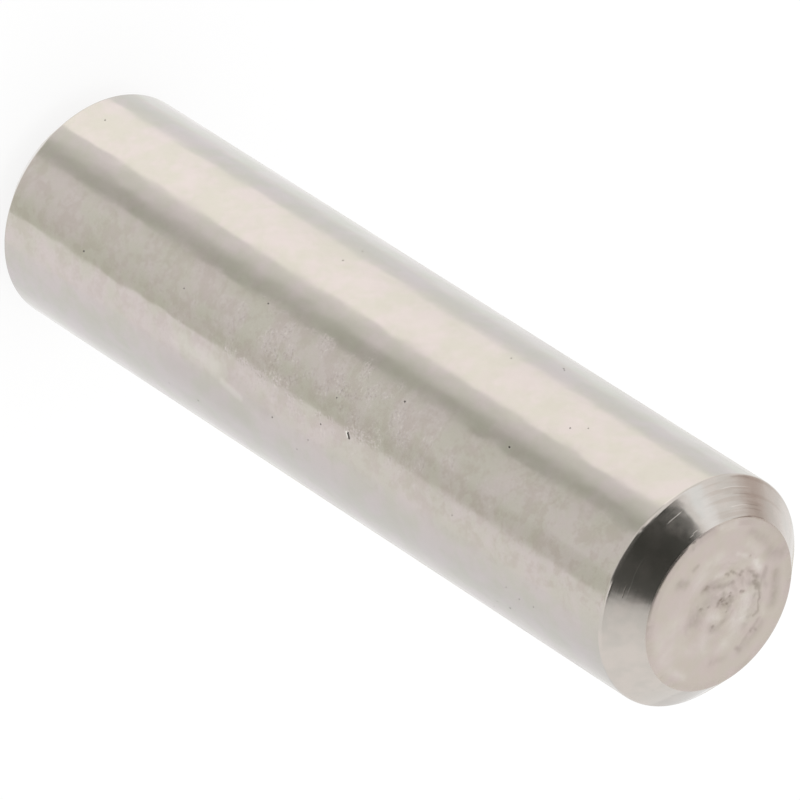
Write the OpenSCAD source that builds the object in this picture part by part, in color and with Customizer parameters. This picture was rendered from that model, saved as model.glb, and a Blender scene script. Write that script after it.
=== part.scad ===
// Parallel dowel pin, turned, ground and chamfered from stainless bar in one piece.
// It stands on its lower end face. The axis is +Z and the origin is the centre of that face.
// Sizes are in millimetres and angles are in degrees.

/* [Shank] */
// Diameter of the ground shank
pin_d = 6; // [5:0.5:20]
// Overall length, from end face to end face
pin_l = 24; // [10:1:100]

/* [Chamfers] */
// Length of each chamfer, measured along the axis
chamfer_l = 0.8; // [0.4:0.1:1.2]
// Angle between each chamfer and the axis
chamfer_angle = 45; // [15:5:45]
// Radius that breaks the edge where a chamfer leaves the shank
shoulder_r = 0.06; // [0.02:0.02:0.4]
// Radius that breaks the edge where a chamfer meets its end face
rim_r = 0.04; // [0.01:0.01:0.15]

/* [Parting mark] */
// Diameter of the shallow dish that the parting tool leaves in the upper end face
dish_d = 2.3; // [1:0.1:2.4]
// Depth of the dish's floor below the end face
dish_depth = 0.05; // [0.02:0.01:0.1]
// Angle between the dish's wall and the end face
dish_wall_angle = 30; // [20:5:60]
// Diameter of the pit at the centre, where the last thread of metal tore away
pit_d = 0.34; // [0.1:0.02:0.4]
// Depth of the pit below the dish's floor
pit_depth = 0.08; // [0.02:0.01:0.12]

/* [Hidden] */
$fn = 128;

pin_r = pin_d / 2;

// Radius at which a chamfer's cone meets its end face, before that edge is broken
face_r = pin_r - chamfer_l * tan(chamfer_angle);

dish_r = dish_d / 2;
dish_floor_r = dish_r - dish_depth / tan(dish_wall_angle);
pit_r = pit_d / 2;

// How far the dish's cutting shape stands above the face that it cuts
cut_clearance = 0.1;

// A disc that only touches both sides of an edge has 1 here. A little less lets its arc cross them cleanly.
edge_seat = 0.998;

// What comes off a sharp edge of an outline when it is broken to a radius.
// The edge is at the origin and points along +X, and the outline turns there by the angle turn.
module edge_waste(edge_r, turn) {
  side_l = edge_r * tan(turn / 2);
  difference() {
    translate([-side_l * sin(turn / 2), -2 * side_l]) square([2 * side_l, 4 * side_l]);
    translate([-edge_seat * edge_r / cos(turn / 2), 0]) circle(r = edge_r);
  }
}

// Waste from the two edges of one end whose face lies on the X axis: the rim and the shoulder
module end_waste() {
  translate([face_r, 0]) rotate(-45 - chamfer_angle / 2) edge_waste(rim_r, 90 - chamfer_angle);
  translate([pin_r, chamfer_l]) rotate(-chamfer_angle / 2) edge_waste(shoulder_r, chamfer_angle);
}

// Half outline of the pin with its edges still sharp
module sharp_outline() {
  polygon([
    [0, 0],
    [face_r, 0],
    [pin_r, chamfer_l],
    [pin_r, pin_l - chamfer_l],
    [face_r, pin_l],
    [0, pin_l]
  ]);
}

// What the parting tool takes out of the upper end face, as a half outline from the pit to above the face
module parting_mark() {
  mouth_r = dish_r + cut_clearance / tan(dish_wall_angle);
  translate([0, pin_l - dish_depth])
    polygon([
      [0, -pit_depth],
      [pit_r, 0],
      [dish_floor_r, 0],
      [mouth_r, dish_depth + cut_clearance],
      [0, dish_depth + cut_clearance]
    ]);
}

module dowel_pin() {
  color("#BDB7AE")
    rotate_extrude()
      difference() {
        sharp_outline();
        end_waste();
        translate([0, pin_l]) mirror([0, 1]) end_waste();
        parting_mark();
      }
}

dowel_pin();
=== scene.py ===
# %% [markdown]
# # A ground dowel pin
#
# A dowel pin is a short round rod that holds two parts in line. It is cut from stainless bar, its
# two ends are chamfered in a lathe, and its shank is ground to size between two wheels. It is one
# solid piece.
#
# The CAD model already has the right form and size, so this lesson is about finish: three surfaces
# that were each made in a different way, and the light that makes plain metal readable.

# %% Load the CAD frame
import math

import bpy
import numpy as np
from mathutils import Matrix, Vector, noise


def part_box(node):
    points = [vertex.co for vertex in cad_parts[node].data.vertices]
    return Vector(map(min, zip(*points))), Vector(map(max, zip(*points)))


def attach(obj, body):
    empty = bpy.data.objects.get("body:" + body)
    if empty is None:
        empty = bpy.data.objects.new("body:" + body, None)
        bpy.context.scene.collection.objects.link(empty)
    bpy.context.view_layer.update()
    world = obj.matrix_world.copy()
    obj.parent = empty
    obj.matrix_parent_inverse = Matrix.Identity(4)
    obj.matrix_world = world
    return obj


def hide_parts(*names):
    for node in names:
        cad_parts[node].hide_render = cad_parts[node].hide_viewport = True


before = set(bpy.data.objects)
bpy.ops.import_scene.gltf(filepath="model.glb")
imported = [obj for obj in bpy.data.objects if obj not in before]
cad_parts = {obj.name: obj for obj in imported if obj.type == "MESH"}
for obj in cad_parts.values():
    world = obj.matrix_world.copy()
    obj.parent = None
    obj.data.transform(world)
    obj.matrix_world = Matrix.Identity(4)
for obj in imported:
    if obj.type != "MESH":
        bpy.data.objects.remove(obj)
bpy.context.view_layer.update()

MM = 0.001
low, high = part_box("dowel_pin")
pin_r = round((high.x - low.x) / 2 / MM, 1)
pin_l = round((high.z - low.z) / MM, 1)
print(f"pin radius {pin_r} mm, length {pin_l} mm")

# %% [markdown]
# ## The outline
#
# A turned part is drawn as half of its section and then spun round its axis. The ends need more
# care than the shank: a chamfer meets the shank and the end face at edges that were broken by
# tumbling, so each edge is a tiny arc. Without those arcs an edge can't catch the light, and the
# pin looks drawn instead of made.
#
# Blender's Screw modifier could spin the outline. Here the rings are written out in code instead,
# because then an edge can be worn rounder on one side, and the torn mark and the dents are made
# along with the rings.

# %% The sizes of the two ends, in millimetres
SEGMENTS = 512
angles = 2 * math.pi * np.arange(SEGMENTS) / SEGMENTS

chamfer_l = 0.8
chamfer_tilt = math.radians(45)
shoulder_r = 0.06
rim_r = 0.04
face_r = pin_r - chamfer_l * math.tan(chamfer_tilt)


def worn(sharp, blunt, worst_at):
    """The radius of an edge at each angle: blunt at worst_at degrees, and sharp opposite it."""
    return sharp + (blunt - sharp) * (1 + np.cos(angles - math.radians(worst_at))) / 2


# The upper edges are worn rounder on one side, and the upper face rolls off a little at its rim.
blunt_rim_r, rim_worst_at = 0.12, -45
blunt_shoulder_r, shoulder_worst_at = 0.17, -50
upper_rim_r = worn(rim_r, blunt_rim_r, rim_worst_at)
upper_shoulder_r = worn(shoulder_r, blunt_shoulder_r, shoulder_worst_at)
roll_off_r = 0.8
roll_off_tilt = math.radians(11)
print(f"end face {2 * face_r:.2f} mm across, edges broken to {rim_r} and {shoulder_r} mm")

# %% Rings of the outline
# A ring is (radius, distance in from the end face, finish, edge wear). Finishes are material slots.
# A tilt is the angle between the outline's outward normal and the pin's axis: none on the end face.
GROUND, TURNED, PARTED = range(3)
arc_steps = 6
# How near each of its edges a straight stretch has one more ring.
edge_gap = 0.015


def corner_rings(corner_r, corner_d, bends, finish):
    """Rings round a corner that is worn to arcs.

    Each bend is (radius of the arc, tilt at its start, tilt at its end).
    """
    r, d = 0.0, 0.0
    path = [(r, d)]
    for arc_r, start, end in bends:
        path += [
            (
                r + arc_r * (math.sin(tilt) - math.sin(start)),
                d + arc_r * (math.cos(start) - math.cos(tilt)),
            )
            for tilt in np.linspace(start, end, arc_steps + 1)[1:]
        ]
        r, d = path[-1]
    # How far before the corner, on the stretch that leads up to it, the first arc starts.
    first, last = bends[0][1], bends[-1][2]
    before = (r * math.sin(last) - d * math.cos(last)) / math.sin(last - first)
    start_r, start_d = corner_r - before * math.cos(first), corner_d - before * math.sin(first)
    wear = [math.sin(math.pi * i / (len(path) - 1)) for i in range(len(path))]
    return [(start_r + r, start_d + d, finish, w) for (r, d), w in zip(path, wear)]


def straight_rings(start, end, shares, finish):
    """Rings on the straight stretch between two rings, at the given shares of its length."""
    return [
        (start[0] + (end[0] - start[0]) * s, start[1] + (end[1] - start[1]) * s, finish, 0.0)
        for s in shares
    ]


def shares_of(steps, length):
    """Even shares of a stretch, with one more near each end, so that it shades straight there."""
    hug = edge_gap / length
    return [hug, *np.linspace(0, 1, steps + 1)[1:-1], 1 - hug]


def end_rings(rim_bends, shoulder_bends, chamfer_steps):
    """Rings of the rim, the chamfer and the shoulder."""
    rim = corner_rings(face_r, 0.0, rim_bends, PARTED)
    shoulder = corner_rings(pin_r, chamfer_l, shoulder_bends, TURNED)
    shares = shares_of(chamfer_steps, chamfer_l * math.sqrt(2))
    return rim + straight_rings(rim[-1], shoulder[0], shares, TURNED) + shoulder


# %% [markdown]
# ## The parting mark
#
# The last cut on a lathe parts the pin from its bar. Near the axis the metal barely moves past the
# tool, so it tears instead of cutting: the upper face has a shallow dish full of torn curls, with a
# pit where the last thread gave way. The mark is deep enough to shade itself, so it is real
# geometry.
#
# Its curls are a short list of strokes, each with the place and size it has on the pin. A stroke
# can cut down, and it can change the tone of the metal: a darker stroke is partly oil in a furrow
# and partly painted shade, and a brighter one is a painted highlight on a curl. Noise roughens
# the rest.

# %% The strokes of the torn mark
dish_r, dish_depth, dish_wall = 1.15, 0.05, 0.16

# A stroke is the points (x, y) along it, its half width and its depth in millimetres, and its tone.
# A tone below 0 is darker, partly oil and partly painted shade; above 0 it is a painted highlight.
STROKES = [
    ([(-0.19, 1.23), (-0.40, 1.26), (-0.54, 1.14), (-0.72, 1.01), (-0.83, 0.88)],
     0.032, 0.005, -0.28),
    ([(-0.84, 0.80), (-0.90, 0.66)], 0.075, 0.012, -0.62),
    ([(-1.02, 0.60), (-1.07, 0.42), (-1.03, 0.12), (-0.94, 0.06)], 0.070, 0.004, -0.30),
    ([(-0.84, 0.08), (-0.82, -0.12), (-0.78, -0.28)], 0.035, 0.006, -0.35),
    ([(-0.90, 0.50), (-0.74, 0.16)], 0.160, 0.002, -0.10),
    ([(-0.70, -0.30), (-0.66, -0.38)], 0.040, 0.004, -0.30),
    ([(-0.62, 0.00), (-0.48, -0.20), (-0.28, -0.48)], 0.070, 0.005, -0.20),
    ([(-0.36, -0.54), (-0.28, -0.64), (-0.12, -0.68)], 0.130, 0.005, -0.22),
    ([(-0.20, -0.72), (0.00, -0.74)], 0.060, 0.006, -0.22),
    ([(-0.20, 0.26), (-0.06, 0.04)], 0.150, 0.003, -0.33),
    ([(-0.16, 0.02), (-0.06, -0.06), (0.06, -0.02)], 0.050, 0.003, -0.26),
    ([(0.00, 0.52), (0.26, 0.50), (0.46, 0.40), (0.56, 0.22)], 0.110, 0.002, -0.16),
    ([(0.54, 0.10), (0.62, -0.30), (0.56, -0.60)], 0.180, 0.003, -0.12),
    ([(0.72, -0.40), (0.84, -0.54)], 0.180, 0.002, -0.12),
    ([(-0.28, -0.20), (0.08, -0.38), (0.36, -0.44)], 0.200, 0.000, -0.15),
    ([(-0.24, 1.46), (0.10, 1.47)], 0.050, 0.002, -0.24),
    ([(-0.20, 1.64), (0.20, 1.62), (0.62, 1.54)], 0.130, 0.000, -0.14),
    ([(0.10, 1.47), (0.40, 1.44), (0.62, 1.40)], 0.050, 0.002, -0.14),
    ([(0.02, 1.60), (0.00, 1.52)], 0.040, 0.002, -0.25),
    ([(0.62, 1.48), (0.64, 1.34)], 0.050, 0.002, -0.14),
    ([(-1.34, 1.08), (-1.16, 1.22), (-0.96, 1.43), (-0.74, 1.56)], 0.150, 0.002, -0.24),
    ([(-1.76, 0.80), (-1.72, 0.50)], 0.220, 0.001, -0.22),
    ([(-1.85, 0.10), (-1.82, -0.50)], 0.150, 0.001, -0.16),
    ([(-0.46, -1.50), (-0.34, -1.53)], 0.060, 0.002, -0.24),
    ([(0.04, -1.50), (0.12, -1.68)], 0.130, 0.002, -0.26),
    ([(1.00, 1.14), (1.22, 0.86)], 0.120, 0.002, -0.12),
    ([(-0.14, 0.46), (0.06, 0.30)], 0.140, 0.000, -0.10),
    ([(-1.24, 0.46), (-1.28, 0.30), (-1.30, 0.18)], 0.120, 0.000, 0.52),
    ([(-1.30, -0.18), (-1.24, -0.50)], 0.060, 0.000, 0.28),
    ([(0.14, 0.78), (0.38, 1.06), (0.84, 0.90)], 0.180, 0.000, 0.25),
    ([(-0.52, 0.68), (-0.34, 0.80), (-0.04, 0.98)], 0.170, 0.000, 0.42),
    ([(-0.98, -0.96), (-0.62, -1.18), (-0.10, -1.10)], 0.160, 0.000, 0.20),
    ([(0.28, 0.22), (0.34, 0.02)], 0.140, 0.000, 0.34),
    ([(0.90, -1.00), (1.50, -1.14), (1.78, -0.60)], 0.300, 0.000, 0.20),
    ([(0.60, 0.00), (0.95, 0.30)], 0.160, 0.000, 0.16),
    ([(-0.62, -0.50), (-0.52, -0.62)], 0.080, 0.000, 0.24),
    ([(-0.30, 0.50), (0.00, 0.46)], 0.080, 0.000, 0.14),
    ([(-0.40, 0.02), (-0.36, -0.14), (-0.16, -0.26)], 0.055, 0.000, 0.12),
    ([(-1.12, 0.78), (-1.30, 0.68)], 0.080, 0.002, -0.24),
    ([(-0.52, 1.36), (-0.38, 1.50)], 0.100, 0.000, 0.12),
    ([(1.12, 0.40), (1.34, -0.20), (1.30, -0.60)], 0.180, 0.000, 0.14),
    ([(-0.96, 1.00), (-1.00, 0.86)], 0.090, 0.002, -0.14),
    ([(-0.57, 0.56), (-0.54, 0.44)], 0.050, 0.006, -0.34),
    ([(-1.56, 0.12), (-1.57, -0.38)], 0.130, 0.000, 0.16),
    ([(1.88, 0.30), (1.92, -0.24)], 0.110, 0.000, 0.24),
    ([(-1.80, -1.10), (-1.52, -1.52)], 0.110, 0.000, 0.30),
]
# A small pit is x, y, radius and depth.
PITS = [
    (-0.39, 0.13, 0.035, 0.014), (-0.33, 0.17, 0.030, 0.012), (0.33, -0.45, 0.045, 0.014),
    (0.50, 0.24, 0.035, 0.010), (-0.53, 0.52, 0.045, 0.014), (-0.51, 0.45, 0.030, 0.010),
    (0.05, 0.38, 0.030, 0.010), (0.20, -0.28, 0.040, 0.010), (-1.38, 0.13, 0.030, 0.008),
    (-1.34, -0.06, 0.030, 0.008), (-0.13, 0.23, 0.030, 0.010),
]
print(f"torn mark {2 * dish_r:.1f} mm across, {len(STROKES)} strokes, {len(PITS)} pits")

# %% Relief and tone of the upper face


def smooth(share):
    """A soft step: 0 below share 0, 1 above share 1, and no corners between."""
    share = np.clip(share, 0, 1)
    return share * share * (3 - 2 * share)


def stroke_cover(x, y, line, half_width):
    """How fully points lie on a stroke: 1 on its line, fading to 0 at twice its half width."""
    nearest = np.full(x.shape, np.inf)
    for (ax, ay), (bx, by) in zip(line, line[1:]):
        dx, dy = bx - ax, by - ay
        along = np.clip(((x - ax) * dx + (y - ay) * dy) / (dx * dx + dy * dy), 0, 1)
        nearest = np.minimum(nearest, np.hypot(x - ax - along * dx, y - ay - along * dy))
    return np.exp(-((nearest / half_width) ** 2))


def noise_map(u, v, w):
    """Fractal noise round 0, with blotches of about size 1, at each place (u, v, w)."""
    increment, lacunarity, octaves = 0.8, 2.0, 3
    u, v, w = np.broadcast_arrays(u, v, w)
    values = [
        noise.fractal(Vector(place), increment, lacunarity, octaves)
        for place in zip(u.ravel(), v.ravel(), w.ravel())
    ]
    return np.array(values).reshape(u.shape)


def torn_face(x, y):
    """Depth in millimetres, how torn the metal is, and its tone with painted light, at points of
    the upper face.
    """
    r = np.hypot(x, y)
    out_x, out_y = x / np.maximum(r, 0.1), y / np.maximum(r, 0.1)
    # The metal tore off last on one side, at 150 degrees. There the mark has a steep wall and
    # deeper furrows.
    tore_last = math.radians(150)
    rough_side = smooth(0.1 + 0.9 * (out_x * math.cos(tore_last) + out_y * math.sin(tore_last)))
    wall = dish_wall * (2.4 - 1.4 * rough_side)
    torn = 1 - smooth((r + 0.12 * noise_map(x / 0.5, y / 0.5, 0.3) - dish_r + wall) / wall / 2)
    # Furrows follow the cut round the axis and fade out past the dish. Lumps don't follow anything.
    furrows = noise_map(2.2 * out_x, 2.2 * out_y, r / 0.16) * (1 - smooth((r - 1.1) / 0.6))
    furrows *= 0.4 + 0.6 * rough_side
    lumps = noise_map(x / 0.20, y / 0.20, 7.1)
    depth = torn * (dish_depth + 0.006 * furrows + 0.005 * lumps) + 0.0006 * lumps

    # The strokes wander and fray a little, so that none of them looks drawn.
    wander, fray = 0.03, 0.015
    broad, fine = (x / 0.3, y / 0.3), (x / 0.07, y / 0.07)
    stroke_x = x + wander * noise_map(*broad, 1.5) + fray * noise_map(*fine, 2.5)
    stroke_y = y + wander * noise_map(*broad, 4.5) + fray * noise_map(*fine, 5.5)
    tone_and_painted_light = np.zeros(x.shape)
    for line, half_width, cut, shade in STROKES:
        cover = stroke_cover(stroke_x, stroke_y, line, half_width)
        depth += cut * cover
        tone_and_painted_light += shade * cover
    tone_and_painted_light *= 1 + 0.45 * lumps
    tone_and_painted_light += 0.16 * furrows
    # Each pit is also painted darker, partly oil and partly painted shade in the hollow.
    for pit_x, pit_y, radius, cut in PITS:
        cover = np.exp(-(((stroke_x - pit_x) ** 2 + (stroke_y - pit_y) ** 2) / radius ** 2))
        depth += cut * cover
        tone_and_painted_light -= 0.3 * cover
    # The blade's burr was rubbed off the rim, which left a darker band there and no relief.
    # A band round the rim is painted a little darker, and the rim has no relief.
    flat_from, band_from, fade = 1.85, 1.95, 0.2
    tone_and_painted_light -= 0.06 * smooth((r - band_from) / fade) * (1 + noise_map(x / 0.9, y / 0.9, 9.3))
    flat_rim = 1 - smooth((r - flat_from) / fade)
    return np.maximum(depth * flat_rim, 0), torn, tone_and_painted_light


# %% [markdown]
# ## Dents on the edges
#
# Pins are tumbled and then shipped loose in bags, so they knock each other. The knocks land on the
# edges first. They are too small and too many to place one by one, so a seeded list places them.

# %% Edge dents
rng = np.random.default_rng(6)


def dents(count, widest, deepest):
    """Random dents round an edge: angle, and half width along it and depth in millimetres."""
    turn = 2 * math.pi
    return [
        (rng.uniform(0, turn), rng.uniform(0.3, 1) * widest, rng.uniform(0.2, 1) ** 2 * deepest)
        for _ in range(count)
    ]


def knocked(radius, edge_dents):
    """How deep the edge is knocked in at each angle."""
    depth = np.zeros(SEGMENTS)
    for at, half_width, deepest in edge_dents:
        away = np.abs((angles - at + math.pi) % (2 * math.pi) - math.pi) * radius / half_width
        depth = np.maximum(depth, deepest * np.exp(-away * away))
    return depth


long_nick = (math.radians(206), 0.45, 0.02)
rim_knocks = knocked(face_r, [*dents(26, 0.09, 0.018), long_nick])
shoulder_knocks = knocked(pin_r, dents(18, 0.07, 0.004))

# %% [markdown]
# ## Spinning the outline
#
# Every ring becomes one loop of points and neighbouring loops are joined by four-sided faces. Each
# ring keeps the finish of the surface it lies on, which picks the material. Two attributes travel
# with the points, for the material of the end faces: how torn the metal is, and its tone with the
# painted shade and highlights of the torn mark.

# %% Lay out all rings from the lower face to the upper one
shank_tilt = math.pi / 2
lower_steps, upper_steps = 8, 14
lower = end_rings([(rim_r, 0, chamfer_tilt)], [(shoulder_r, chamfer_tilt, shank_tilt)], lower_steps)
upper_rim = [(roll_off_r, 0, roll_off_tilt), (upper_rim_r, roll_off_tilt, chamfer_tilt)]
upper = end_rings(upper_rim, [(upper_shoulder_r, chamfer_tilt, shank_tilt)], upper_steps)
shank_top = (pin_r, pin_l - upper[-1][1])
shank = straight_rings(lower[-1], shank_top, shares_of(upper_steps, pin_l), GROUND)
lower_face = straight_rings((0.0, 0.0), lower[0], shares_of(lower_steps, face_r)[1:], PARTED)

# The upper face has close rings over the torn mark and wider ones outside it.
close_up_to, last_share = 0.66, 0.994
close_shares = np.linspace(0, close_up_to, 77)[1:]
wide_shares = np.linspace(close_up_to, 1, 18)[1:-1]
upper_shares = [*close_shares, *wide_shares, last_share]
upper_face = straight_rings((0.0, 0.0), upper[0], upper_shares, PARTED)

from_top = [(r, pin_l - d, finish, wear) for r, d, finish, wear in upper_face + upper]
rings = lower_face + lower + shank + from_top[::-1]
print(f"{len(rings)} rings of {SEGMENTS} points")

# %% Make the points
radii = np.array([np.broadcast_to(ring[0], SEGMENTS) for ring in rings])
heights = np.array([np.broadcast_to(ring[1], SEGMENTS) for ring in rings])
wear = np.array([ring[3] for ring in rings])[:, None]
knocks = wear * np.where(radii < (face_r + pin_r) / 2, rim_knocks, shoulder_knocks)
radii = radii - knocks
heights = heights + np.where(heights > pin_l / 2, -knocks, knocks)
x, y = radii * np.cos(angles), radii * np.sin(angles)

depths, torn, tone_and_painted_light = (np.zeros(x.shape) for _ in range(3))
# The upper face and the rim round it are torn; every other ring stays smooth.
first = len(rings) - len(upper_face) - (arc_steps * len(upper_rim) + 1)
depths[first:], torn[first:], tone_and_painted_light[first:] = torn_face(x[first:], y[first:])
heights[first:] -= depths[first:]
print(f"the mark is {depths.max():.3f} mm deep at most")

# %% Join the points with faces
count = len(rings)
corner = np.arange(count * SEGMENTS).reshape(count, SEGMENTS)
ahead = np.roll(corner, -1, axis=1)
quads = np.stack([corner[:-1], ahead[:-1], ahead[1:], corner[1:]], axis=-1).reshape(-1, 4)
middle_low, middle_high = count * SEGMENTS, count * SEGMENTS + 1
low_fan = [(middle_low, b, a) for a, b in zip(corner[0], ahead[0])]
high_fan = [(a, b, middle_high) for a, b in zip(corner[-1], ahead[-1])]
faces = quads.tolist() + low_fan + high_fan

# A loop between two finishes is never turned: it takes the end face's finish or the shank's.
ring_finish = [ring[2] for ring in rings]
pairs = zip(ring_finish, ring_finish[1:])
between_rings = [PARTED if PARTED in pair else min(pair) for pair in pairs]
finishes = np.repeat(between_rings, SEGMENTS).tolist() + [PARTED] * (2 * SEGMENTS)

points = np.stack([x, y, heights], axis=-1).reshape(-1, 3)
points = np.vstack([points, [(0, 0, 0), (0, 0, heights[-1].mean())]]) * MM
mesh = bpy.data.meshes.new("pin")
mesh.from_pydata(points.tolist(), [], faces)
mesh.polygons.foreach_set("material_index", finishes)
mesh.polygons.foreach_set("use_smooth", [True] * len(faces))
for name, values in (("torn", torn), ("tone_and_painted_light", tone_and_painted_light)):
    attribute = mesh.attributes.new(name, "FLOAT", "POINT")
    values = np.append(values.ravel(), (0, values[-1].mean()))
    attribute.data.foreach_set("value", values.astype(np.float32))
mesh.update()
pin = bpy.data.objects.new("pin", mesh)
bpy.context.scene.collection.objects.link(pin)
triangles = sum(len(p.vertices) - 2 for p in mesh.polygons)
print(f"{len(points)} points, {triangles} triangles")

# %% [markdown]
# ## Colour and the node helpers
#
# Colours are written as the sRGB hex values that a paint program shows, and one function turns them
# to the linear numbers that a shader needs. Pattern coordinates and relief are in millimetres, so
# each number is a real size.

# %% Helpers for materials


def linear(hex_colour, strength=1.0):
    """Linear red, green, blue and alpha of an sRGB hex colour."""
    out = []
    for i in (1, 3, 5):
        c = int(hex_colour[i:i + 2], 16) / 255
        out.append(strength * (c / 12.92 if c <= 0.04045 else ((c + 0.055) / 1.055) ** 2.4))
    return (*out, 1.0)


def add(tree, kind, links, out=0, **settings):
    """Adds a node with its settings and links, and returns one of its outputs.

    Each input, by name or number, gets a value or the output of another node.
    """
    node = tree.nodes.new("ShaderNode" + kind)
    for key, value in settings.items():
        setattr(node, key, value)
    for key, value in links.items():
        if isinstance(value, bpy.types.NodeSocket):
            tree.links.new(value, node.inputs[key])
        else:
            node.inputs[key].default_value = value
    return node.outputs[out] if node.outputs else None


# Settings that many nodes share.
TIMES, PLUS, MINUS = ({"operation": name} for name in ("MULTIPLY", "ADD", "SUBTRACT"))
# value x height + the relief so far
PILE = {"operation": "MULTIPLY_ADD"}
# A soft step. Its inputs are the value, where it starts and ends, and what it gives at each end.
SOFT = {"interpolation_type": "SMOOTHSTEP"}
# A colour mix. Inputs 0, 6 and 7 are the share and the two colours, and output 2 is the result.
MIX = {"data_type": "RGBA", "out": 2}
# How far apart two places are.
DISTANCE = {"operation": "DISTANCE", "out": "Value"}


def new_metal(name):
    """An empty metal material, its tree and the place of each point on the pin in millimetres."""
    material = bpy.data.materials.new(name)
    material.use_nodes = True
    material.node_tree.nodes.clear()
    tree = material.node_tree
    place = add(tree, "TexCoord", {}, "Object")
    place = add(tree, "VectorMath", {0: place, 1: (1 / MM, 1 / MM, 1 / MM)}, **TIMES)
    return material, tree, place


def finish_with(tree, colour, roughness, height_mm):
    """Gives the material its shader, with a colour, a roughness and a relief in millimetres."""
    relief = add(tree, "Bump", {"Strength": 1.0, "Distance": MM, "Height": height_mm})
    links = {"Base Color": colour, "Metallic": 1.0, "Roughness": roughness, "Normal": relief}
    add(tree, "OutputMaterial", {0: add(tree, "BsdfPrincipled", links)})


# %% [markdown]
# ## Ground stainless
#
# The shank is centreless ground and then tumbled. It is never perfectly true: slow waves a few
# thousandths of a millimetre high bend the reflected bands, a fine orange peel breaks them up, and
# one patch half way up was left full of tiny pits, which the wheel didn't clean. The deeper pits, a
# scratch with its burr and four painted reflection streaks, bright and dark, are placed one by one.

# %% Ground stainless: pits, a scratch and painted reflection streaks
# A pit is the angle round the pin in degrees, and the height and radius in millimetres.
DEEP_PITS = [
    (269.8, 15.06, 0.030), (261.6, 18.50, 0.036), (292.2, 3.67, 0.030), (281.0, 7.21, 0.020),
    (265.9, 9.78, 0.024), (226.9, 10.33, 0.020), (214.1, 10.25, 0.020), (312.2, 11.16, 0.024),
    (303.0, 17.77, 0.018), (335.2, 19.75, 0.030), (238.2, 19.39, 0.021), (233.0, 19.73, 0.018),
    (206.2, 17.22, 0.030), (207.2, 17.30, 0.030), (232.5, 1.56, 0.022), (300.5, 12.88, 0.024),
    (285.2, 13.12, 0.022), (222.0, 16.26, 0.020), (332.5, 8.16, 0.024), (333.8, 7.02, 0.018),
    (321.1, 12.07, 0.018), (311.9, 12.51, 0.018), (337.0, 19.23, 0.020), (324.0, 20.25, 0.020),
    (323.1, 20.77, 0.018), (321.9, 19.79, 0.018), (345.4, 18.90, 0.018),
]
# The scratch and the burr beside it are the angle and height of both ends, and the half width.
SCRATCH = (296.7, 13.83), (298.5, 13.91), 0.034
BURR = (296.5, 13.77), (298.2, 13.85), 0.026
# Painted reflection streaks, bright and dark, are the same numbers and a tone.
PAINTED_STREAKS = [
    ((304.4, 7.50), (305.6, 8.90), 0.24, 0.18), ((310.6, 9.25), (312.9, 9.95), 0.10, 0.20),
    ((306.3, 9.60), (311.0, 10.90), 0.26, -0.10), ((319.0, 7.20), (321.0, 10.00), 0.40, -0.08),
]


def on_shank(angle, height):
    """The place on the shank at an angle in degrees and a height in millimetres."""
    turn = math.radians(angle)
    return Vector((pin_r * math.cos(turn), pin_r * math.sin(turn), height))


ground, tree, place = new_metal("ground_stainless")

# The distance to the nearest pit, counted in its own radii.
radii_away = 10.0
for angle, height, radius in DEEP_PITS:
    away = add(tree, "VectorMath", {0: place, 1: on_shank(angle, height)}, **DISTANCE)
    away = add(tree, "Math", {0: away, 1: radius}, operation="DIVIDE")
    radii_away = add(tree, "Math", {0: radii_away, 1: away}, operation="MINIMUM")

# A scratch is a short line, and its distance is taken from the nearest place on the line.
lines_away = []
for start, end, half_width in (SCRATCH, BURR, *(painted_streak[:3] for painted_streak in PAINTED_STREAKS)):
    start, run = on_shank(*start), on_shank(*end) - on_shank(*start)
    from_start = add(tree, "VectorMath", {0: place, 1: start}, **MINUS)
    per_run = run / run.length_squared
    along = add(tree, "VectorMath", {0: from_start, 1: per_run}, "Value", operation="DOT_PRODUCT")
    along = add(tree, "Math", {0: along, 1: 1.0}, use_clamp=True, **TIMES)
    nearest = add(tree, "VectorMath", {0: run, "Scale": along}, operation="SCALE")
    away = add(tree, "VectorMath", {0: from_start, 1: nearest}, **DISTANCE)
    lines_away.append(add(tree, "Math", {0: away, 1: half_width}, operation="DIVIDE"))
radii_away = add(tree, "Math", {0: radii_away, 1: lines_away[0]}, operation="MINIMUM")
deep_pits = add(tree, "MapRange", {0: radii_away, 1: 1.1, 2: 0.6}, **SOFT)
# The burr is raised, and it is also painted nearly white: a painted highlight.
burr = add(tree, "MapRange", {0: lines_away[1], 1: 1.4, 2: 0.5}, **SOFT)
painted_streak_tone = 0.0
for away, painted_streak in zip(lines_away[2:], PAINTED_STREAKS):
    on_painted_streak = add(tree, "MapRange", {0: away, 1: 1.6, 2: 0.2}, **SOFT)
    painted_streak_tone = add(tree, "Math", {0: on_painted_streak, 1: painted_streak[3], 2: painted_streak_tone}, **PILE)
print(f"{len(DEEP_PITS)} pits, a scratch and {len(PAINTED_STREAKS)} smears")

# %% Ground stainless: the patch that the wheel didn't clean
# The patch is five times as long as it is wide, and noise breaks up its border.
patch_angle, patch_height = 284, 12.6
squeeze = Vector((1, 1, 1 / 5))
squeezed = add(tree, "VectorMath", {0: place, 1: squeeze}, **TIMES)
patch_middle = on_shank(patch_angle, patch_height) * squeeze
from_patch = add(tree, "VectorMath", {0: squeezed, 1: patch_middle}, **DISTANCE)
border = add(tree, "TexNoise", {"Vector": place, "Scale": 1 / 0.4, "Detail": 2.0})
from_patch = add(tree, "Math", {0: border, 1: 1.8, 2: from_patch}, **PILE)
patch = add(tree, "MapRange", {0: from_patch, 1: 1.3, 2: 2.2, 3: 1.0, 4: 0.0}, **SOFT)
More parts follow.
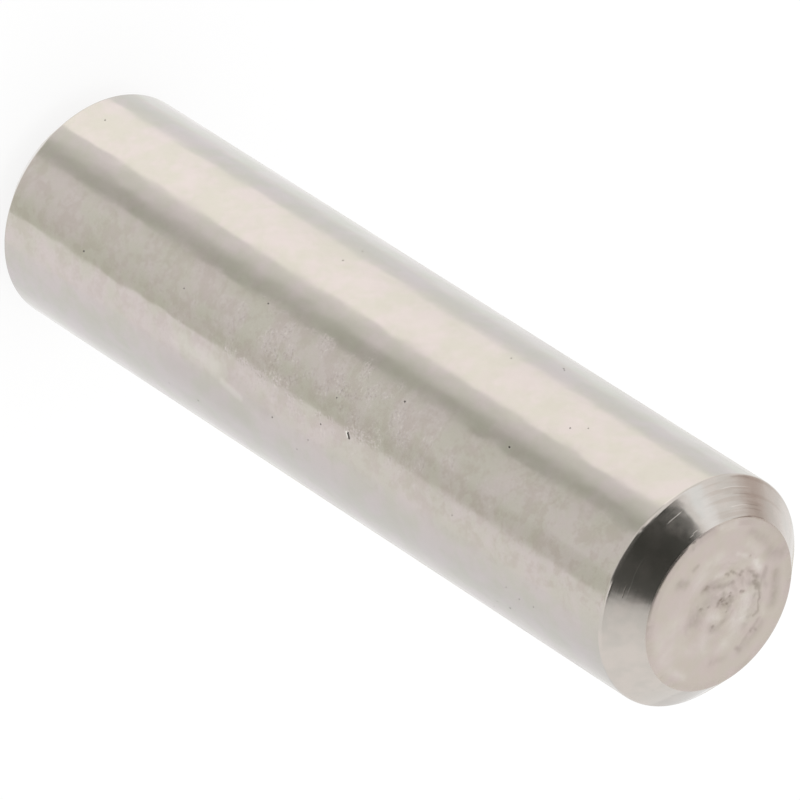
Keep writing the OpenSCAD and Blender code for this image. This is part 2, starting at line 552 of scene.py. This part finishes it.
# The pits come in clusters.
clusters = add(tree, "TexNoise", {"Vector": place, "Scale": 1 / 0.45, "Detail": 2.0})
patch = add(tree, "MapRange", {0: clusters, 1: 0.40, 2: 0.60, 3: 0.0, 4: patch}, **SOFT)
# Its pits are short dashes along the grinding marks, 0.08 mm wide and a little longer.
dash_place = add(tree, "VectorMath", {0: place, 1: (0.8, 0.8, 1)}, **TIMES)
dashes = add(
    tree, "TexNoise", {"Vector": dash_place, "Scale": 1 / 0.08, "Detail": 2.0, "Roughness": 0.6}
)
dash_relief = add(tree, "Math", {0: dashes, 1: 0.5}, **MINUS)
dash_relief = add(tree, "Math", {0: dash_relief, 1: patch}, **TIMES)
# The low dashes, the pits, are painted darker as painted shade; the raised bits, painted glints.
dark_dashes = add(tree, "MapRange", {0: dashes, 1: 0.46, 2: 0.34, 4: patch}, **SOFT)
bright_dashes = add(tree, "MapRange", {0: dashes, 1: 0.58, 2: 0.68, 4: patch}, **SOFT)

# %% Ground stainless: colour
stain = add(tree, "TexNoise", {"Vector": place, "Scale": 1 / 0.9, "Detail": 3.0, "Roughness": 0.6})
stain = add(tree, "MapRange", {0: stain, 1: 0.35, 2: 0.65}, **SOFT)
colour = add(tree, "Mix", {0: stain, 6: linear("#CBC6BC"), 7: linear("#D1C7C4")}, **MIX)
# Painted shade: the colour darkens towards the upper end, and the same share roughens it there.
upwards = add(tree, "SeparateXYZ", {0: place}, 2)
painted_shade_upwards = add(tree, "MapRange", {0: upwards, 1: 2.0, 2: pin_l, 3: 0.0, 4: 0.24})
# The wheel left a stripe of faint haze on the patch's side; its thickening upwards is painted
# shade.
stripe_angle = 287
side_on = add(tree, "VectorMath", {0: place, 1: (1, 1, 0)}, **TIMES)
from_stripe = add(tree, "VectorMath", {0: side_on, 1: on_shank(stripe_angle, 0)}, **DISTANCE)
stripe = add(tree, "MapRange", {0: from_stripe, 1: 0.8, 2: 1.7, 3: 1.0, 4: 0.15}, **SOFT)
haze = add(tree, "TexNoise", {"Vector": place, "Scale": 1 / 0.4, "Detail": 4.0, "Roughness": 0.65})
haze = add(tree, "MapRange", {0: haze, 1: 0.44, 2: 0.62, 3: 0.0, 4: stripe}, **SOFT)
haze_with_upward_shade = add(tree, "MapRange", {0: upwards, 1: pin_l / 2, 2: 20.0, 3: 0.17, 4: 0.23})

# Share of the painted shade in the pits of the dashes.
painted_shade_in_dashes = add(tree, "Math", {0: dark_dashes, 1: 0.18}, **TIMES)
in_haze = add(tree, "Math", {0: haze, 1: haze_with_upward_shade}, **TIMES)
# Share of the painted glints on the raised bits between them.
painted_glints = add(tree, "Math", {0: bright_dashes, 1: 0.3}, **TIMES)
# The streaks are painted: the bright ones are painted reflections, the dark ones painted shade.
darker = add(tree, "MapRange", {0: painted_streak_tone, 1: 0.0, 2: -1.0})
brighter = add(tree, "MapRange", {0: painted_streak_tone, 1: 0.0, 2: 1.0})
# The deep pits are painted nearly black: painted shade in the hollows.
in_pits = add(tree, "Math", {0: deep_pits, 1: 0.85}, **TIMES)
# Each layer covers the ones before it.
layers = [
    (painted_shade_upwards, "#B9B2A9"), (painted_shade_in_dashes, "#7A7167"), (in_haze, "#A9998D"), (painted_glints, "#EFE9DF"),
    (darker, "#8E8780"), (brighter, "#F2EEE8"), (burr, "#FBF8F2"), (in_pits, "#3A332C"),
]
for share, layer_colour in layers:
    colour = add(tree, "Mix", {0: share, 6: colour, 7: linear(layer_colour)}, **MIX)
print(f"{len(layers)} layers of colour over the bare metal")

# %% Ground stainless: relief
waves = add(tree, "TexNoise", {"Vector": place, "Scale": 1 / 1.6, "Detail": 1.0})
# The wheel rolls the metal along the same lines for a while, so its small swells run lengthwise.
drawn_out = add(tree, "VectorMath", {0: place, 1: (1, 1, 0.45)}, **TIMES)
swells = add(tree, "TexNoise", {"Vector": drawn_out, "Scale": 1 / 0.5, "Detail": 1.0})
orange_peel = add(tree, "TexNoise", {"Vector": drawn_out, "Scale": 1 / 0.3, "Detail": 0.0})
height_mm = add(tree, "Math", {0: waves, 1: 0.015}, **TIMES)
# Each pattern is piled on the relief so far, with its own height in millimetres.
patterns = [
    (swells, 0.003), (orange_peel, 0.0042), (dash_relief, 0.012), (burr, 0.004), (deep_pits, -0.012)
]
for pattern, height in patterns:
    height_mm = add(tree, "Math", {0: pattern, 1: height, 2: height_mm}, **PILE)
buffed = add(
    tree, "TexNoise", {"Vector": drawn_out, "Scale": 1 / 0.8, "Detail": 2.0, "Roughness": 0.6}
)
roughness = add(tree, "MapRange", {0: buffed, 1: 0.3, 2: 0.7, 3: 0.10, 4: 0.19}, **SOFT)
roughness = add(tree, "Math", {0: painted_shade_upwards, 1: 0.15, 2: roughness}, **PILE)
finish_with(tree, colour, roughness, height_mm)
print(f"{len(tree.nodes)} nodes in the ground finish")

# %% [markdown]
# ## Turned stainless
#
# The chamfers were cut with a single point, which leaves rings, and each ring lasts only part of a
# turn before the point wanders off it. So the pattern is noise that is squeezed along the height
# and stretched round the axis. It is strongest on one side, where the bar ran out of true and the
# point dug in, and oil has dried brown in it. A few rings also carry painted highlights and painted
# shade.

# %% Turned stainless: rings
# A ring that stands out is its radius, half width and height in millimetres, where it starts and
# ends in degrees round the pin, and its tone: a brighter ring is a painted highlight, and a darker
# one is partly dried oil and partly painted shade.
RINGS = [
    (2.772, 0.012, 0.0020, 193, 218, 0.35), (2.455, 0.012, 0.0015, 198, 215, 0.3),
    (2.650, 0.014, -0.0010, 194, 210, -0.25), (2.475, 0.012, -0.0010, 190, 204, -0.25),
    (2.400, 0.012, -0.0010, 188, 206, -0.2), (2.955, 0.018, -0.0005, 193, 208, -0.3),
    (2.243, 0.018, -0.0010, 197, 217, -0.85), (2.690, 0.012, 0.0012, 268, 293, 0.2),
    (2.751, 0.010, -0.0015, 286, 294, -0.3), (2.741, 0.008, 0.0008, 240, 252, 0.10),
    (2.326, 0.008, 0.0006, 243, 247, 0.08), (2.345, 0.008, 0.0006, 240, 244, 0.08),
    (2.262, 0.014, -0.0010, 186, 204, -0.30),
]
turned, tree, place = new_metal("turned_stainless")
flat = add(tree, "VectorMath", {0: place, 1: (1, 1, 0)}, **TIMES)
radius_mm = add(tree, "VectorMath", {0: flat}, "Value", operation="LENGTH")
# The angle round the pin in degrees, from 0 to 360.
across = add(tree, "SeparateXYZ", {0: flat})
minus_x = add(tree, "Math", {0: across, 1: -1.0}, **TIMES)
minus_y = add(tree, "Math", {0: across.node.outputs[1], 1: -1.0}, **TIMES)
turn = add(tree, "Math", {0: minus_y, 1: minus_x}, operation="ARCTAN2")
turn = add(tree, "Math", {0: turn, 1: math.degrees(1), 2: 180.0}, **PILE)

# The rings wander this much in all from their true radius.
wander_mm = 0.05
wander = add(tree, "TexNoise", {"Vector": flat, "Scale": 1 / 0.5, "Detail": 2.0})
wandering_r = add(tree, "Math", {0: wander, 1: wander_mm, 2: radius_mm}, **PILE)
wandering_r = add(tree, "Math", {0: wandering_r, 1: wander_mm / 2}, **MINUS)
ring_height, ring_oil_and_painted_light = 0.0, 0.0
for radius, half_width, height, start, end, shade in RINGS:
    off_ring = add(tree, "Math", {0: wandering_r, 1: radius}, **MINUS)
    off_ring = add(tree, "Math", {0: off_ring}, operation="ABSOLUTE")
    on_ring = add(tree, "MapRange", {0: off_ring, 1: 1.5 * half_width, 2: 0.0}, **SOFT)
    off_middle = add(tree, "Math", {0: turn, 1: (start + end) / 2}, **MINUS)
    off_middle = add(tree, "Math", {0: off_middle}, operation="ABSOLUTE")
    half = (end - start) / 2
    cover = add(tree, "MapRange", {0: off_middle, 1: half, 2: half / 2, 4: on_ring}, **SOFT)
    ring_height = add(tree, "Math", {0: cover, 1: height, 2: ring_height}, **PILE)
    ring_oil_and_painted_light = add(tree, "Math", {0: cover, 1: shade, 2: ring_oil_and_painted_light}, **PILE)
print(f"{len(RINGS)} rings that stand out")

# %% Turned stainless: colour and relief
# The point dug in round worst_at, fading out to both sides, and again, but less, past 276 degrees.
worst_at = 193.0
off_worst = add(tree, "Math", {0: turn, 1: worst_at}, **MINUS)
off_worst = add(tree, "Math", {0: off_worst}, operation="ABSOLUTE")
dug_in = add(tree, "MapRange", {0: off_worst, 1: 42.0, 2: 24.0}, **SOFT)
dug_in_again = add(tree, "MapRange", {0: turn, 1: 276.0, 2: 292.0, 4: 0.6}, **SOFT)
ring_share = add(tree, "Math", {0: dug_in, 1: dug_in_again}, operation="MAXIMUM")
ring_share = add(tree, "Math", {0: ring_share, 1: 0.85, 2: 0.15}, **PILE)

# One turn is squeezed to 0.02 of its length, so a ring lasts about fifty times as far round as it
# is wide. The real rings are half as wide as the fine ones here, which is too fine to show.
fine_place = add(tree, "VectorMath", {0: place, 1: (0.02, 0.02, 1)}, **TIMES)
wide_place = add(tree, "VectorMath", {0: place, 1: (0.06, 0.06, 1)}, **TIMES)
fine_rings = add(tree, "TexNoise", {"Vector": fine_place, "Scale": 1 / 0.05, "Detail": 2.0})
wide_rings = add(tree, "TexNoise", {"Vector": wide_place, "Scale": 1 / 0.12, "Detail": 2.0})
slow_waves = add(tree, "TexNoise", {"Vector": place, "Scale": 1 / 0.6, "Detail": 2.0})
patches = add(tree, "TexNoise", {"Vector": place, "Scale": 1 / 0.5, "Detail": 2.0})
patches = add(tree, "MapRange", {0: patches, 1: 0.35, 2: 0.65}, **SOFT)
colour = add(tree, "Mix", {0: patches, 6: linear("#C7C1BA"), 7: linear("#CEC6BF")}, **MIX)
# Dried oil stays in the grooves of the deeper rings.
oily = add(tree, "MapRange", {0: wide_rings, 1: 0.50, 2: 0.36, 4: dug_in}, **SOFT)
oily = add(tree, "Math", {0: oily, 1: 0.22}, **TIMES)
colour = add(tree, "Mix", {0: oily, 6: colour, 7: linear("#A8968A")}, **MIX)
# Darker rings are partly dried oil and partly painted shade; brighter rings are painted highlights.
darker = add(tree, "MapRange", {0: ring_oil_and_painted_light, 1: 0.0, 2: -1.0})
colour = add(tree, "Mix", {0: darker, 6: colour, 7: linear("#7C6A5C")}, **MIX)
brighter = add(tree, "MapRange", {0: ring_oil_and_painted_light, 1: 0.0, 2: 1.0})
colour = add(tree, "Mix", {0: brighter, 6: colour, 7: linear("#F4F0EA")}, **MIX)
relief_mm = add(tree, "Math", {0: fine_rings, 1: 0.0022}, **TIMES)
relief_mm = add(tree, "Math", {0: wide_rings, 1: 0.002, 2: relief_mm}, **PILE)
height_mm = add(tree, "Math", {0: slow_waves, 1: 0.008, 2: ring_height}, **PILE)
height_mm = add(tree, "Math", {0: relief_mm, 1: ring_share, 2: height_mm}, **PILE)
roughness = add(tree, "MapRange", {0: patches, 3: 0.12, 4: 0.17})
finish_with(tree, colour, roughness, height_mm)

# %% [markdown]
# ## Parted stainless
#
# The end faces were cut by the parting blade. It rubs as it cuts, so they are duller and a little
# browner than the rest, with faint feed rings, and the torn middle is rough and holds a trace of
# oil in its furrows. Its curls also carry painted shade and painted highlights.

# %% Parted stainless: colour and relief
parted, tree, place = new_metal("parted_stainless")
torn_here = add(tree, "Attribute", {}, "Fac", attribute_name="torn")
tone_and_light_here = add(tree, "Attribute", {}, "Fac", attribute_name="tone_and_painted_light")
flat = add(tree, "VectorMath", {0: place, 1: (1, 1, 0)}, **TIMES)
radius_mm = add(tree, "VectorMath", {0: flat}, "Value", operation="LENGTH")
feed = add(
    tree, "TexNoise", {"W": radius_mm, "Scale": 1 / 0.12, "Detail": 2.0}, noise_dimensions="1D"
)
patches = add(
    tree, "TexNoise", {"Vector": place, "Scale": 1 / 0.6, "Detail": 4.0, "Roughness": 0.6}
)
patches = add(tree, "MapRange", {0: patches, 1: 0.35, 2: 0.65}, **SOFT)
grain = add(tree, "TexNoise", {"Vector": place, "Scale": 1 / 0.06, "Detail": 2.0, "Roughness": 0.6})
colour = add(tree, "Mix", {0: patches, 6: linear("#C6BCB4"), 7: linear("#CEC5BF")}, **MIX)
tints = add(tree, "TexNoise", {"Vector": place, "Scale": 1 / 0.45, "Detail": 2.0})
tints = add(tree, "MapRange", {0: tints, 1: 0.35, 2: 0.65}, **SOFT)
tint = add(tree, "Mix", {0: tints, 6: linear("#C7BEB0"), 7: linear("#CCBDB8")}, **MIX)
colour = add(tree, "Mix", {0: 0.5, 6: colour, 7: tint}, **MIX)
# Below 0 the tone darkens the metal: partly oil in the furrows, partly painted shade.
darker = add(tree, "MapRange", {0: tone_and_light_here, 1: 0.0, 2: -1.0})
colour = add(tree, "Mix", {0: darker, 6: colour, 7: linear("#6E5F52")}, **MIX)
# Above 0 the tone brightens it: a painted highlight.
brighter = add(tree, "MapRange", {0: tone_and_light_here, 1: 0.0, 2: 1.0})
colour = add(tree, "Mix", {0: brighter, 6: colour, 7: linear("#E6E1DA")}, **MIX)
torn_grain = add(tree, "Math", {0: grain, 1: torn_here}, **TIMES)
height_mm = add(tree, "Math", {0: feed, 1: 0.0015}, **TIMES)
height_mm = add(tree, "Math", {0: torn_grain, 1: 0.002, 2: height_mm}, **PILE)
roughness = add(tree, "MapRange", {0: patches, 3: 0.32, 4: 0.42})
finish_with(tree, colour, roughness, height_mm)

# %% Give the pin its finishes and its place in the frame
for material in (ground, turned, parted):
    mesh.materials.append(material)
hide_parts("dowel_pin")
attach(pin, "root")

# %% [markdown]
# ## Floor and room
#
# The room is plain white, at strength 1, so that a colour renders as it is written. The floor is
# white too. To the camera it also glows a little, which lifts it to the white of the room and
# leaves only a faint shadow.

# %% White room and floor
world = bpy.data.worlds.new("white_room")
world.use_nodes = True
world.node_tree.nodes["Background"].inputs["Color"].default_value = (1.0, 1.0, 1.0, 1.0)
world.node_tree.nodes["Background"].inputs["Strength"].default_value = 1.0
bpy.context.scene.world = world

# The floor lies a hundredth of a millimetre under the pin, so that the two flat faces don't mix.
floor_half, floor_height = 3.0, -0.01 * MM
square = [(-1, -1), (1, -1), (1, 1), (-1, 1)]
floor_points = [(x * floor_half, y * floor_half, floor_height) for x, y in square]
floor_mesh = bpy.data.meshes.new("floor")
floor_mesh.from_pydata(floor_points, [], [(0, 1, 2, 3)])
floor = bpy.data.objects.new("floor", floor_mesh)
bpy.context.scene.collection.objects.link(floor)
paper = bpy.data.materials.new("white_paper")
paper.use_nodes = True
tree = paper.node_tree
tree.nodes.clear()
camera_ray = add(tree, "LightPath", {}, "Is Camera Ray")
rays = camera_ray.node.outputs
seen = add(tree, "Math", {0: camera_ray, 1: rays["Is Glossy Ray"]}, **PLUS)
seen = add(tree, "Math", {0: seen, 1: rays["Is Transmission Ray"]}, use_clamp=True, **PLUS)
glow_share, glow_strength = 0.78, 1.05
matt = add(tree, "BsdfDiffuse", {"Color": linear("#F6F6F6")})
glow = add(tree, "Emission", {"Color": linear("#FFFFFF"), "Strength": glow_strength})
seen_glow = add(tree, "Math", {0: seen, 1: glow_share}, **TIMES)
add(tree, "OutputMaterial", {0: add(tree, "MixShader", {0: seen_glow, 1: matt, 2: glow})})
floor_mesh.materials.append(paper)
floor.visible_glossy = False

# %% [markdown]
# ## Cards for the metal to reflect
#
# Bare metal shows what stands round it, so it is lit with cards, which give it its bands. A pin is
# lit lying down. Here it stands on its end, so the whole set of cards is turned with it: "over" is
# the side of the pin that is uppermost when it lies down, and the upper end looks "ahead".
#
# Real cards are never evenly bright: they fade where the light falls off. So each card has a list
# of covers, from 0, where it looks like the white room, to 1, where it has its full colour. Each
# card stands a metre and a half away and only shows in reflections.

# %% The card set
over_angle = math.radians(224.7)
over = Vector((math.cos(over_angle), math.sin(over_angle), 0.0))
ahead_of_pin = Vector((0.0, 0.0, 1.0))
side = over.cross(ahead_of_pin)
middle = Vector((0.0, 0.0, pin_l / 2 * MM))


def bearing(turn, rise):
    """Direction at turn degrees from ahead to the side, and rise degrees over the set's floor."""
    t, e = math.radians(turn), math.radians(rise)
    return (
        ahead_of_pin * math.cos(t) * math.cos(e)
        + side * math.sin(t) * math.cos(e)
        + over * math.sin(e)
    )


def card(
    name, turns, rises, colour, strength=1.0, turn_covers=(1, 1), rise_covers=(1, 1), away=1.5
):
    """A curved card between two turns and two rises, with its covers spaced evenly over it."""
    steps = 24
    shares = np.linspace(0, 1, steps + 1)
    turn_cover = np.interp(shares, np.linspace(0, 1, len(turn_covers)), turn_covers)
    rise_cover = np.interp(shares, np.linspace(0, 1, len(rise_covers)), rise_covers)
    grid = [
        middle + away * bearing(turn, rise)
        for turn in turns[0] + (turns[1] - turns[0]) * shares
        for rise in rises[0] + (rises[1] - rises[0]) * shares
    ]
    quads = [
        (a, a + 1, a + steps + 2, a + steps + 1)
        for a in range((steps + 1) * steps) if a % (steps + 1) < steps
    ]
    card_mesh = bpy.data.meshes.new(name)
    card_mesh.from_pydata(grid, [], quads)
    cover = card_mesh.attributes.new("cover", "FLOAT", "POINT")
    cover.data.foreach_set("value", np.outer(turn_cover, rise_cover).ravel().astype(np.float32))
    made = bpy.data.objects.new(name, card_mesh)
    bpy.context.scene.collection.objects.link(made)
    material = bpy.data.materials.new(name)
    material.use_nodes = True
    tree = material.node_tree
    tree.nodes.clear()
    covered = add(tree, "Attribute", {}, "Fac", attribute_name="cover")
    shown = add(tree, "Mix", {0: covered, 6: linear("#FFFFFF"), 7: linear(colour, strength)}, **MIX)
    add(tree, "OutputMaterial", {0: add(tree, "Emission", {"Color": shown, "Strength": 1.0})})
    card_mesh.materials.append(material)
    made.visible_camera = False
    made.visible_diffuse = False
    made.visible_shadow = False
    print(f"{name}: {turns[1] - turns[0]} by {rises[1] - rises[0]} degrees")


# %% Place the cards: turns, rises, colour
card("bright_card", (118, 179), (23.5, 80), "#FFFEFC", 1.34, rise_covers=(0.75, 0.95, 1, 1))
card(
    "falling_off", (179, 215), (36, 80), "#C6C9C1", away=1.49,
    turn_covers=(0.02, 0.1, 0.17, 0.23, 0.35, 0.6, 0.88, 1, 1, 1),
)
card("grey_wall", (207, 262), (-5, 38.5), "#DCDED6", rise_covers=(1, 0.86, 0.72, 0.52, 0.45, 0.82))
card("cool_card", (118, 150), (-18, 23), "#FAFFFF", 1.05, rise_covers=(0.3, 0.5, 1, 1, 1, 0.8, 0.8))
card(
    "dull_strip", (118, 150), (0.5, 20.5), "#F9FCFF", away=1.45,
    rise_covers=(0, 0.35, 0.95, 1, 1, 0.85, 0.75, 0.6, 0.3),
)
card(
    "table_in_shade", (115, 235), (-70, -27), "#F4F7FA",
    turn_covers=(0.1, 0.1, 0.5, 1, 0.8, 0),
)
card(
    "table_in_front", (285, 375), (-45, -3.5), "#C8CAC8",
    turn_covers=(1, 1, 1, 1, 0.6, 0.3, 0.1), rise_covers=(0, 0.1, 0.2, 0.32, 0.5, 1),
)
card(
    "camera_side", (-75, 20), (8, 47.5), "#454643",
    turn_covers=(0.94, 0.94, 0.95, 1, 0.985, 0.98, 0.72),
)
card(
    "camera_foot", (-75, 20), (-8, 8), "#454643", away=1.46,
    rise_covers=(0.33, 0.52, 0.84, 0.95, 0.95),
)
card(
    "beside_camera", (229, 285), (12, 48), "#454643", away=1.45,
    turn_covers=(0, 0.35, 0.8, 0.94, 0.94),
)
card(
    "over_camera", (219, 345), (48, 63), "#4A4B46",
    turn_covers=(0, 0.6, 1, 1, 1, 1), rise_covers=(1, 1, 0.5),
)
card(
    "brown_card", (44, 100), (-24, 30), "#C8BBB4",
    turn_covers=(0.6, 0.9, 1, 1, 0.85),
    rise_covers=(0.1, 0.2, 0.28, 0.42, 0.78, 0.9, 0.58, 0.15, 0.03),
)
card("window", (29, 48), (38, 62), "#F6FBFF", 1.24)
card(
    "warm_card", (112, 146), (-38, -27.5), "#CCC1A9", away=1.45,
    turn_covers=(0.15, 0.1, 0, 0.36, 1, 1, 0.6),
)
card("table_edge", (118, 134), (-66, -44), "#EDEDED", turn_covers=(0.5, 1, 1, 0.5), away=1.45)

# %% [markdown]
# ## Camera
#
# A long lens from a quarter of a metre shows almost no perspective, as in a catalogue picture. The
# camera is rolled on its side, so that the pin, which stands on its end, lies down in the render.

# %% The camera
camera_rise = math.radians(40.53)
camera_roll = math.radians(122.77)
camera_distance = 0.2785
# The camera looks at a place just beside the middle of the pin.
aim = Vector((0.00002, 0.0004, 0.012))
back = Vector((0.0, -math.cos(camera_rise), math.sin(camera_rise)))
camera_data = bpy.data.cameras.new("camera")
camera_data.lens = 522.5
camera_data.sensor_width = 36.0
camera_data.clip_start = 0.01
camera = bpy.data.objects.new("camera", camera_data)
bpy.context.scene.collection.objects.link(camera)
camera.matrix_world = (
    Matrix.Translation(aim + back * camera_distance)
    @ Matrix.Rotation(math.pi / 2 - camera_rise, 4, "X")
    @ Matrix.Rotation(camera_roll, 4, "Z")
)
bpy.context.scene.camera = camera
bpy.context.scene.view_settings.view_transform = "Standard"
